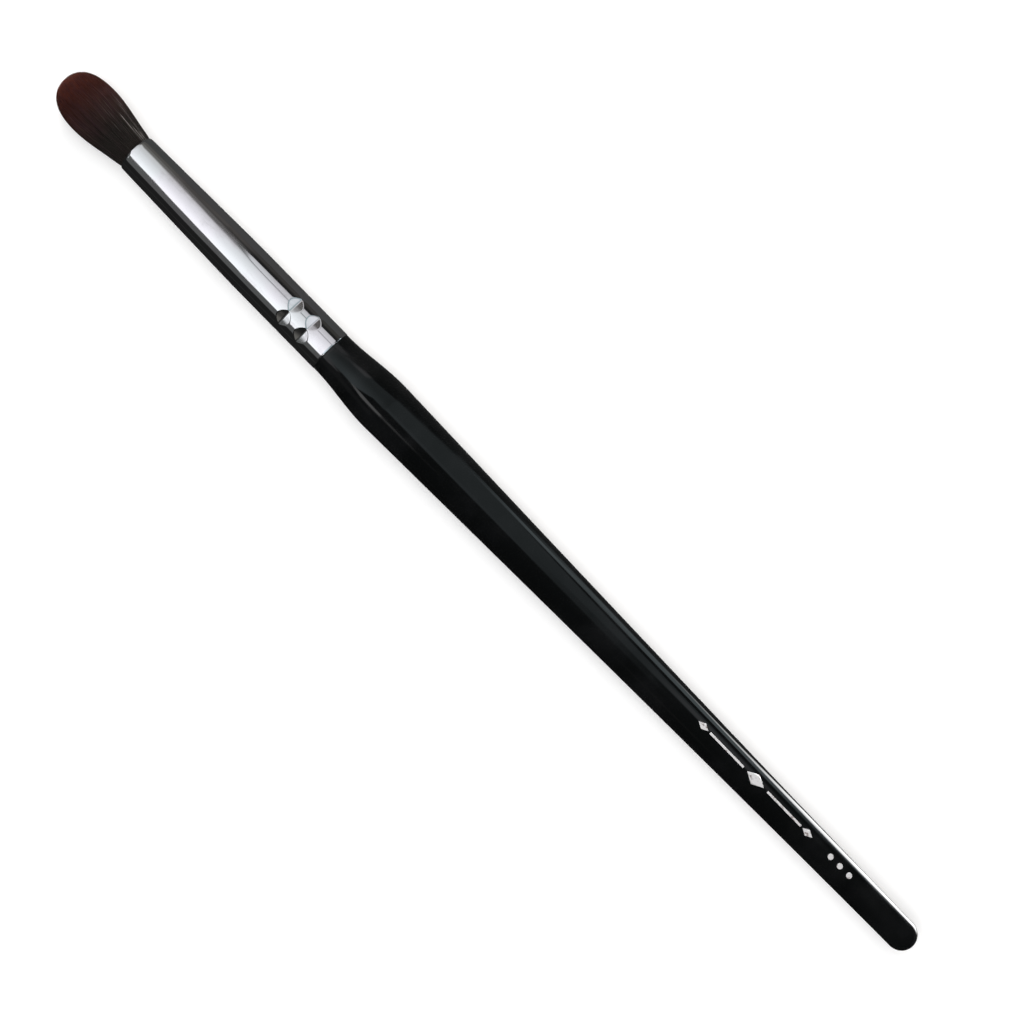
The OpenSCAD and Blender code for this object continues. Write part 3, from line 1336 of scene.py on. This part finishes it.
@dataclass
class Handle:
    """Turned handle: tenon, shoulder, belly, long taper and round tail, in black lacquer."""

    datum: Datum
    crimps: Crimps = field(default_factory=Crimps)
    neck_r: float = 3.38 * MM
    belly_r: float = 4.17 * MM
    belly_dist: float = 11.0 * MM
    tail_r: float = 2.35 * MM
    taper_power: float = 1.25
    shoulder_round: float = 0.1 * MM
    tenon_r: float = 3.04 * MM
    tenon_len: float = 16.0 * MM
    tenon_chamfer: float = 0.4 * MM
    tail_blunt: float = 0.985
    tail_rings: int = 16
    taper_rings: int = 90
    swell_rings: int = 40
    shoulder_rings: int = 14
    tenon_rings: int = 90
    sides: int = 180

    def body_radius(self, back: np.ndarray) -> np.ndarray:
        """Gives the radius of the handle's visible body.

        Args:
            back: Distance behind the ferrule.

        Returns:
            The radius at each distance.
        """
        length = self.datum.seam_x - self.datum.tail_x
        swell = (1 - np.cos(math.pi * np.clip(back / self.belly_dist, 0, 1))) / 2
        front = self.neck_r + (self.belly_r - self.neck_r) * swell
        span = length - self.tail_r - self.belly_dist
        left = np.clip(1 - (back - self.belly_dist) / span, 0, 1)
        rear = self.tail_r + (self.belly_r - self.tail_r) * left**self.taper_power
        past = np.clip(back - (length - self.tail_r), 0, self.tail_r)
        rear = np.where(past > 0, np.sqrt(np.maximum(self.tail_r**2 - past**2, 0)), rear)
        return np.where(back < self.belly_dist, front, rear)

    def build(self) -> list[bpy.types.Object]:
        """Builds the handle with its tenon.

        Returns:
            The handle.
        """
        length = self.datum.seam_x - self.datum.tail_x
        tail = np.sin(quarter(self.tail_rings)[:0:-1] * self.tail_blunt)
        back = np.concatenate(
            [
                length - self.tail_r * (1 - tail),
                np.linspace(length - self.tail_r, self.belly_dist, self.taper_rings),
                np.linspace(self.belly_dist, self.shoulder_round, self.swell_rings)[1:],
            ]
        )
        radius = self.body_radius(back)
        soft, bend = self.shoulder_round, quarter(self.shoulder_rings)[-2:0:-1]
        shoulder_r = self.neck_r - soft * (1 - np.sin(bend))
        shoulder = np.stack([soft * (1 - np.cos(bend)), shoulder_r], 1)
        along = np.linspace(0, self.tenon_len - self.tenon_chamfer, self.tenon_rings)
        tenon = np.stack([-along, np.full(len(along), self.tenon_r)], 1)
        nose = np.array([[-self.tenon_len, self.tenon_r - self.tenon_chamfer]])
        rings = np.concatenate([np.stack([back, radius], 1), shoulder, tenon, nose])
        turn = np.arange(self.sides) * math.tau / self.sides
        pressed = rings[:, :1] <= 0
        inset = self.crimps.press(-rings[:, :1], turn[None, :], rings[:, 1:], self.tenon_r)
        full = np.where(pressed, inset, rings[:, 1:])
        x = self.datum.seam_x - rings[:, 0]
        grip = turned_skin("handle_body", x, full, self.sides, self.datum.axis_z, False)
        return [seat(grip, LACQUER, ["handle"])]


# Ornament


class MarkShape(Enum):
    """Outline of one foil mark."""

    BAR = "bar"
    LOZENGE = "lozenge"
    DOT = "dot"


@dataclass(frozen=True)
class FoilMark:
    """One plain mark stamped along the handle."""

    shape: MarkShape
    x: float
    length: float
    width: float

    def half_width(self, share: np.ndarray) -> np.ndarray:
        """Gives the mark's half width.

        Args:
            share: Places along the mark, from -1 to 1.

        Returns:
            The half width at each place.
        """
        if self.shape is MarkShape.LOZENGE:
            return self.width / 2 * (1 - np.abs(share))
        if self.shape is MarkShape.DOT:
            return self.width / 2 * np.sqrt(np.maximum(1 - share**2, 0))
        return np.full_like(share, self.width / 2)


@dataclass
class FoilOrnament:
    """Plain foil line with lozenges and dots, stamped near the tail."""

    datum: Datum
    handle: Handle
    turn: float = math.radians(13)
    proud: float = 0.012 * MM
    sunk: float = 0.02 * MM
    rows: int = 24
    columns: int = 8
    blunt: float = 0.985

    def marks(self) -> list[FoilMark]:
        """Lays the marks out along the handle.

        Returns:
            The marks, from the head's side to the tail.
        """
        line = [FoilMark(MarkShape.BAR, x * MM, 7.0 * MM, 0.34 * MM) for x in (-48.2, -60.0)]
        gems = [
            FoilMark(MarkShape.LOZENGE, -43.4 * MM, 2.0 * MM, 1.1 * MM),
            FoilMark(MarkShape.LOZENGE, -54.1 * MM, 3.4 * MM, 1.9 * MM),
            FoilMark(MarkShape.LOZENGE, -64.8 * MM, 2.0 * MM, 1.1 * MM),
        ]
        dots = [FoilMark(MarkShape.DOT, x * MM, 0.9 * MM, 0.9 * MM) for x in (-69.6, -71.5, -73.4)]
        return line + gems + dots

    def mark_mesh(self, mark: FoilMark) -> tuple[np.ndarray, np.ndarray]:
        """Wraps one mark round the handle as a thin closed plate.

        Args:
            mark: The mark.

        Returns:
            Its points, and its faces as rows of four vertex numbers.
        """
        rows, columns = self.rows, self.columns
        share = np.sin(np.linspace(-1, 1, rows + 1) * math.pi / 2)
        share = np.clip(share, -self.blunt, self.blunt)
        x = mark.x + share * mark.length / 2
        surface = self.handle.body_radius(self.datum.seam_x - x)
        across = np.linspace(-1, 1, columns + 1)[None, :] * mark.half_width(share)[:, None]
        turn = self.turn + across / surface[:, None]
        points = [
            around(x[:, None], surface[:, None] + up, turn, self.datum.axis_z)
            for up in (self.proud, -self.sunk)
        ]
        wide, half = columns + 1, (rows + 1) * (columns + 1)
        top = grid_faces(rows + 1, wide)
        under = top[:, ::-1] + half
        edge = np.concatenate(
            [
                np.arange(columns),
                columns + wide * np.arange(rows),
                half - 1 - np.arange(columns),
                wide * (rows - np.arange(rows)),
            ]
        )
        after = np.roll(edge, -1)
        wall = np.stack([after, edge, edge + half, after + half], 1)
        return np.concatenate(points).reshape(-1, 3), np.concatenate([top, under, wall])

    def build(self) -> list[bpy.types.Object]:
        """Builds all the marks as one piece.

        Returns:
            The ornament.
        """
        points, faces, count = [], [], 0
        for mark in self.marks():
            own_points, own_faces = self.mark_mesh(mark)
            points.append(own_points)
            faces.append(own_faces + count)
            count += len(own_points)
        made = make_mesh("foil_ornament", np.concatenate(points), [np.concatenate(faces)])
        return [seat(made, FOIL)]


@dataclass
class InnerBonds:
    """Binding and adhesives inside the ferrule, which keep their CAD solids."""

    finishes: tuple[tuple[str, Finish], ...] = (
        ("tuft_binding", THREAD),
        ("root_adhesive", ADHESIVE),
        ("tenon_adhesive", ADHESIVE),
    )

    def build(self) -> list[bpy.types.Object]:
        """Dresses the CAD nodes.

        Returns:
            The nodes.
        """
        nodes = []
        for name, finish in self.finishes:
            nodes.append(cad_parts[name])
            for holder in nodes[-1].material_slots:
                holder.material = finish.material()
        return nodes


# Studio


@dataclass
class Camera:
    """Camera straight above the brush, which has the photograph's angle and framing.

    In the picture, a step towards the tip goes as far to the left and up as along says. The
    camera aims at a point ahead of and across from the brush's middle, and aside in the picture.
    """

    datum: Datum
    lens: float = 85.0
    sensor: float = 36.0
    height: float = 349.4 * MM
    aside: float = 3.32 * MM
    across: float = 0.14 * MM
    ahead: float = 0.07 * MM
    along: tuple[float, float] = (0.6997, 0.7145)

    def build(self) -> None:
        """Places the camera and makes it the scene's."""
        data = bpy.data.cameras.new("view")
        data.lens, data.sensor_width = self.lens, self.sensor
        camera = bpy.data.objects.new("view", data)
        bpy.context.scene.collection.objects.link(camera)
        right = Vector((-self.along[0], -self.along[1], 0))
        up = Vector((self.along[1], -self.along[0], 0))
        aim = Vector((self.ahead, -self.across, self.datum.axis_z)) + right * self.aside
        turn = Matrix((right, up, (0, 0, 1))).transposed().to_4x4()
        camera.matrix_world = Matrix.Translation(aim + Vector((0, 0, self.height))) @ turn
        bpy.context.scene.camera = camera


@dataclass(frozen=True)
class Panel:
    """Soft-edged light panel on a card, with its edges set at stations along the brush.

    Edges lie across the card, positive towards -Y: in degrees from straight up on the tent, and
    in millimetres on a flat card. Each edge and the level is one number for all stations, or one
    for each. A panel ends at its first and last station. An edge fades over soft on both sides of
    its line, and an end over end_soft, in metres.
    """

    stations: tuple[float, ...]
    left: AtStations
    right: AtStations
    level: AtStations
    soft: Span = (2.0, 2.0)
    end_soft: Span = (0.004, 0.004)
    tint: Colour = (1.0, 1.0, 1.0)

    def glow(self, x: np.ndarray, across: np.ndarray) -> np.ndarray:
        """Gives the panel's light.

        Args:
            x: Places along the brush.
            across: Places across the card.

        Returns:
            Red, green and blue at each place.
        """
        left, right, level = (
            np.interp(x, self.stations, np.broadcast_to(value, len(self.stations)))
            for value in (self.left, self.right, self.level)
        )
        inside = ease(across - left, -self.soft[0], self.soft[0])
        inside = inside * (1 - ease(across - right, -self.soft[1], self.soft[1]))
        start, end = self.stations[0], self.stations[-1]
        along = ease(x, start - self.end_soft[0], start + self.end_soft[0])
        along = along * (1 - ease(x, end - self.end_soft[1], end + self.end_soft[1]))
        return (level * inside * along)[..., None] * np.array(self.tint)


@dataclass
class ReflectionCards:
    """Light tent and flat cards round the brush that only its gloss shows.

    The tent narrows to tent_end of its radius at both ends, and spreads tent_turn degrees to each
    side. The light of its windows is scaled by falloff, given at falloff_turns in degrees. The
    floor card has a bright strip and a dimmer rim beside the tail, and faint light on both sides
    of the brush. Its spans and the strip's edges are in millimetres: places across are negative
    on the right, and places back are behind the brush's middle.
    """

    datum: Datum
    radius: float = 0.42
    reach: Span = (-1.8, 2.4)
    fine: Span = (-0.25, 0.36)
    tent_turn: float = 92.0
    tent_end: float = 0.04
    tent_rows: tuple[int, int, int] = (8, 245, 24)
    tent_columns: int = 369
    card_lift: float = 0.02 * MM
    card_fine: float = 50.0 * MM
    card_columns: int = 101
    belly_lift: float = 20.0 * MM
    belly_ends: Span = (21.2 * MM, 33.9 * MM)
    belly_sides: Span = (-26 * MM, 20 * MM)
    belly_rows: int = 90
    belly_columns: int = 185
    dark: float = 0.014
    cool: Colour = (0.84, 1.0, 1.05)
    daylight: Colour = (0.985, 0.985, 1.02)
    warm: Colour = (1.0, 0.93, 0.86)
    rosy: Colour = (1.0, 0.9, 0.93)
    blush: Colour = (1.0, 0.92, 0.95)
    falloff_turns: tuple[float, ...] = (-50, -25, -10, 5, 20, 35, 50, 60)
    falloff: tuple[float, ...] = (1.22, 1.2, 1.06, 0.93, 0.83, 0.62, 0.53, 0.5)
    strip_level: float = 13.0
    strip_far: tuple[tuple[float, ...], ...] = ((70, 82, 88), (-28, -15, -12.5))
    strip_near: tuple[tuple[float, ...], ...] = (
        (46, 52, 58, 64, 70, 78),
        (-17, -14, -10, -7.5, -6.5, -5.3),
    )
    strip_blur: float = 0.2
    strip_soft: float = 1.5
    strip_fade: Span = (34, 66)
    tail_end: Span = (89.5, 91)
    right_level: float = 0.05
    right_span: Span = (-2, 2)
    left_level: float = 0.02
    left_spans: tuple[Span, Span] = ((24, 26), (30, 32))
    rim_level: float = 1.3
    rim_fade: Span = (0, 30)
    rim_span: Span = (-30, -14)

    def windows(self) -> list[Panel]:
        """Lists the bright panels that the ferrule shows.

        Returns:
            The panels.
        """
        ahead = Panel(
            (0.235, 0.27, 0.275, 0.325, 0.33, 0.40, 0.69, 2.3),
            (-33, -33, -32, -31, -31, -28, -28, -32),
            (57, 57, 41.4, 41.4, 57, 58, 68, 76),
            1.0,
            (1.2, 2.2),
            (0.01, 0.02),
            self.daylight,
        )
        window = Panel(
            (0.06, 0.101, 0.121, 0.137, 0.155, 0.168, 0.178, 0.235),
            (-46.5, -45.7, -43.3, -43.2, -39.3, -35.3, -32.4, -33),
            (28.5, 29, 34.5, 38, 43.5, 50, 53, 57),
            1.0,
            (1.2, 6.5),
            (0.003, 0.01),
            self.daylight,
        )
        second = Panel(
            (0.06, 0.101, 0.116, 0.123, 0.1265),
            (31, 31.5, 36, 38.5, 42),
            (57, 55, 54, 53.5, 52),
            (1.15, 1.15, 1.18, 1.0, 0.6),
            (0.8, 1.5),
            (0.003, 0.004),
            self.daylight,
        )
        facet = Panel((0.262, 0.308), -55.5, -42, 0.95, (1.3, 2), tint=self.daylight)
        return [ahead, window, second, facet]

    def sheens(self) -> list[Panel]:
        """Lists the dim panels: the ferrule's side stripes and the handle's long sheens.

        Returns:
            The panels.
        """
        stripe = Panel(
            (0.06, 0.145, 0.17, 0.235, 2.3),
            (-72, -71, -69, -69, -80),
            (-40, -38, -32, -30, -50),
            (0.085, 0.088, 0.095, 0.095, 0.095),
            (1.2, 3.0),
        )
        shade = Panel(
            (0.13, 0.15, 0.165, 2.3),
            30,
            92,
            (0.045, 0.05, 0.088, 0.088),
            (10, 10),
            (0.02, 0.02),
            self.warm,
        )
        glance = Panel(
            (0.128, 0.152, 0.17, 0.3),
            (38, 40, 46, 50),
            (62, 64, 69, 72),
            (0.075, 0.075, 0.065, 0.04),
            (6, 5),
            (0.006, 0.03),
        )
        under = Panel((0.06, 0.145), 71, 92, (0.03, 0.035), (8, 3), (0.01, 0.01), self.warm)
        streak = Panel(
            (0.018, 0.026, 0.033),
            (-40, -42, -43),
            (-37.5, -35, -32),
            (0.4, 0.9, 1.8),
            (1, 1.5),
            (0.004, 0.002),
        )
        sheen = Panel(
            (-0.14, -0.107, -0.09, -0.064, -0.044, -0.036, 0.0, 0.013, 0.026, 0.031, 0.055),
            (26, 26, 25, 23, 16, -7, -7, -6, -6, -6, -6),
            (56, 60, 61, 63, 67, 69, 80, 75, 61, 57, 56),
            (0.25, 0.5, 0.44, 0.42, 0.43, 0.44, 0.45, 0.46, 0.46, 0.46, 0.46),
            (2.0, 3.0),
            (0.03, 0.002),
            self.cool,
        )
        edge = Panel(
            (-0.03, 0.0, 0.055),
            (-7, -7, -6),
            (3, 3, 4),
            (0.0, 0.12, 0.3),
            (2, 6),
            (0.01, 0.002),
            self.cool,
        )
        veil = Panel(
            (-0.09, -0.076, -0.064, -0.044, -0.036),
            -7,
            (25, 24, 23, 16, -7),
            (0.08, 0.13, 0.23, 0.29, 0.44),
            (5, 2),
            (0.008, 0.001),
            self.cool,
        )
        spot = Panel((-0.135, -0.09), 30, 50, 0.46, (4, 4), (0.012, 0.012), self.rosy)
        rim = Panel(
            (-0.14, -0.09, -0.05, -0.025, 0.005),
            (78, 79, 78, 76, 76),
            96,
            (1.8, 1.6, 1.2, 1.7, 0.3),
            (1.5, 2),
            (0.03, 0.015),
            self.cool,
        )
        dusk = Panel((-0.112, -0.074), -58, -52.3, 0.13, (1.5, 1.6), (0.006, 0.006), self.warm)
        return [stripe, shade, glance, under, streak, sheen, edge, veil, spot, rim, dusk]

    def belly_panels(self) -> list[Panel]:
        """Lists the panels of the flat card that the neck and the belly show.

        Returns:
            The panels.
        """
        stations = (0.020, 0.0253, 0.027, 0.0287, 0.0308, 0.035)
        left = (-2.1, -2.1, -4.0, -5.8, -8.8, -9.4)
        right = (19.7, 15.7, 15.0, 14.7, 14.5, 14.0)
        base = Panel(stations, left, right, 0.38, (0.5, 1.2), tint=self.cool)
        glow = (0.34, 0.4, 0.45, 0.5, 0.66, 0.62)
        lighter = Panel(
            stations, left, (0.5, 0.5, 0.5, 0.0, -0.5, -0.5), glow, (0.5, 6.0), tint=self.cool
        )
        streak = Panel(
            (0.019, 0.0250, 0.0287, 0.0305, 0.0318),
            (-12.2, -12.7, -13.0, -11.2, -9.4),
            (-9.2, -8.6, -8.2, -8.3, -8.8),
            (1.9, 2.1, 2.1, 1.9, 0.8),
            (0.7, 0.5),
            (0.001, 0.0006),
        )
        sharp = (0.0003, 0.0003)
        patch = Panel((0.0303, 0.0333), 8.8, 17.0, 0.5, (0.5, 0.8), sharp, self.blush)
        dusk = Panel((0.0298, 0.0333), -25.0, -18.7, 0.12, (0.8, 1.6), sharp, self.warm)
        return [base, lighter, streak, patch, dusk]

    def tent_glow(self, x: np.ndarray, angle: np.ndarray) -> np.ndarray:
        """Gives the tent's light, which falls off across its windows from left to right.

        Args:
            x: Places along the brush.
            angle: Degrees from straight up towards -Y.

        Returns:
            Red, green and blue at each place.
        """
        falloff = np.interp(angle, self.falloff_turns, self.falloff)
        bright = sum(panel.glow(x, angle) for panel in self.windows()) * falloff[..., None]
        return bright + sum(panel.glow(x, angle) for panel in self.sheens()) + self.dark

    def belly_glow(self, x: np.ndarray, y: np.ndarray) -> np.ndarray:
        """Gives the light of the flat card over the neck and the belly.

        Args:
            x: Places along the brush.
            y: Places across the brush, negative on the right.

        Returns:
            Red, green and blue at each place.
        """
        return sum(panel.glow(x, -y / MM) for panel in self.belly_panels()) + self.dark

    def floor_glow(self, x: np.ndarray, y: np.ndarray) -> np.ndarray:
        """Gives the floor card's light, which is dim beside the brush but for its tail.

        Args:
            x: Places along the brush.
            y: Places across the brush, negative on the right.

        Returns:
            Red, green and blue at each place.
        """
        back, across = -x / MM, y / MM
        start, end = self.left_spans
        left = ease(across, *start) * (1 - ease(across, *end))
        tail_end = 1 - ease(back, *self.tail_end)
        far, near = (np.interp(back, *edge) for edge in (self.strip_far, self.strip_near))
        strip = ease(across, far * (1 + self.strip_blur), far * (1 - self.strip_blur))
        strip = strip * (1 - ease(across, near - self.strip_soft, near + self.strip_soft))
        strip = strip * ease(back, *self.strip_fade) * tail_end
        rim = ease(back, *self.rim_fade) * tail_end * (1 - ease(across, *self.rim_span))
        level = self.dark + self.right_level * (1 - ease(across, *self.right_span))
        level = level + self.left_level * left + self.strip_level * strip
        return level[..., None] * np.ones(3) + self.rim_level * rim[..., None] * np.array(self.cool)

    def sheet(self, name: str, points: np.ndarray, glow: np.ndarray) -> None:
        """Builds one card that only gloss shows.

        Args:
            name: Name of the card.
            points: A grid of points.
            glow: The card's light at each point.
        """
        card = make_mesh(name, points.reshape(-1, 3), [grid_faces(*points.shape[:2])])
        paint_points(card, "glow", glow)
        card.data.materials.append(GLOW.material())
        card.visible_camera = card.visible_diffuse = card.visible_shadow = False

    def build(self) -> None:
        """Builds the tent, the floor card and the card over the belly."""
        behind, beside, ahead = self.tent_rows
        x = np.concatenate(
            [
                np.linspace(self.reach[0], self.fine[0], behind)[:-1],
                np.linspace(*self.fine, beside),
                np.linspace(self.fine[1], self.reach[1], ahead)[1:],
            ]
        )
        angle = np.linspace(-self.tent_turn, self.tent_turn, self.tent_columns)
        grid_x, grid_a = np.meshgrid(x, angle, indexing="ij")
        ends = (self.reach[0], self.reach[0] / 2, self.reach[1] / 2, self.reach[1])
        closing = np.interp(grid_x, ends, (self.tent_end, 1.0, 1.0, self.tent_end))
        tent = around(grid_x, self.radius * closing, np.radians(grid_a), self.datum.axis_z)
        self.sheet("light_tent", tent, self.tent_glow(grid_x, grid_a))
        near, far = 2 * self.card_fine, 4 * self.card_fine
        middle = np.linspace(-self.card_fine, self.card_fine, self.card_columns)
        y = np.concatenate([[-self.radius, -far, -near], middle, [near, self.radius]])
        belly_x = np.linspace(*self.belly_ends, self.belly_rows)
        belly_y = np.linspace(*self.belly_sides, self.belly_columns)
        for name, along, across, lift, light in (
            ("floor_card", x, y, self.card_lift, self.floor_glow),
            ("belly_card", belly_x, belly_y, self.belly_lift, self.belly_glow),
        ):
            grid_x, grid_y = np.meshgrid(along, across, indexing="ij")
            card = np.stack([grid_x, grid_y, np.full_like(grid_x, lift)], axis=-1)
            self.sheet(name, card, light(grid_x, grid_y))


@dataclass
class Studio:
    """Floor, soft light, reflection cards and background."""

    datum: Datum
    key_size: float = 0.7
    key_power: float = 4.6
    side_size: float = 0.25
    side_power: float = 1.3
    side_colour: Colour = (1.0, 0.95, 0.92)
    key_place: tuple[float, float, float] = (0.02, 0.05, 0.6)
    side_place: tuple[float, float, float] = (0.22, -0.34, 0.15)
    floor_size: float = 6.0
    room: float = 0.1

    def build(self) -> None:
        """Builds the studio."""
        scene = bpy.context.scene
        scene.view_settings.view_transform = "Standard"
        self._floor()
        self._lamp("soft_key", self.key_place, 0.0, self.key_size, self.key_power)
        head_x = self.datum.tip_x
        side = self._lamp("soft_side", self.side_place, head_x, self.side_size, self.side_power)
        side.data.color = self.side_colour
        self._world(scene)
        ReflectionCards(self.datum).build()

    def _floor(self) -> None:
        """Lays the floor."""
        half = self.floor_size / 2
        corners = np.array([[-half, -half, 0], [half, -half, 0], [half, half, 0], [-half, half, 0]])
        floor = make_mesh("studio_floor", corners, [np.array([[0, 1, 2, 3]])])
        floor.data.materials.append(PAPER.material())

    @staticmethod
    def _lamp(
        name: str, place: tuple[float, float, float], aim_x: float, size: float, power: float
    ) -> bpy.types.Object:
        """Hangs a soft square light over the brush, which only matt surfaces answer.

        Args:
            name: Name of the light.
            place: Where it hangs.
            aim_x: Place on the floor under the brush's axis that it faces.
            size: Length of its side.
            power: Its power in watts.

        Returns:
            The light.
        """
        data = bpy.data.lights.new(name, "AREA")
        data.shape, data.size, data.energy = "SQUARE", size, power
        light = bpy.data.objects.new(name, data)
        back = Vector(place) - Vector((aim_x, 0, 0))
        turn = back.to_track_quat("Z", "Y").to_matrix().to_4x4()
        light.matrix_world = Matrix.Translation(place) @ turn
        light.visible_camera = light.visible_glossy = False
        bpy.context.scene.collection.objects.link(light)
        return light

    def _world(self, scene: bpy.types.Scene) -> None:
        """Makes the background white where it is seen and dim as a light.

        Args:
            scene: The scene.
        """
        scene.world = bpy.data.worlds.new("studio_room")
        scene.world.use_nodes = True
        bench = NodeBench(scene.world.node_tree)
        strength = bench.seen() * (1 - self.room) + self.room
        sockets = {"Color": (1.0, 1.0, 1.0, 1.0), "Strength": strength}
        shade = bench.add("ShaderNodeBackground", sockets=sockets)
        bench.add("ShaderNodeOutputWorld", sockets={"Surface": shade})


def main() -> None:
    """Builds the camera, the studio and each sub-assembly, and reports every piece."""
    logging.basicConfig(level=logging.INFO, format="%(message)s")
    datum = Datum.from_frame()
    Camera(datum).build()
    Studio(datum).build()
    handle = Handle(datum)
    ornament = FoilOrnament(datum, handle)
    for part in (BristleHead(datum), Ferrule(datum), handle, ornament, InnerBonds()):
        for piece in part.build():
            LOG.info("%s: %s, %d faces", type(part).__name__, piece.name, len(piece.data.polygons))


if __name__ == "__main__":
    main()
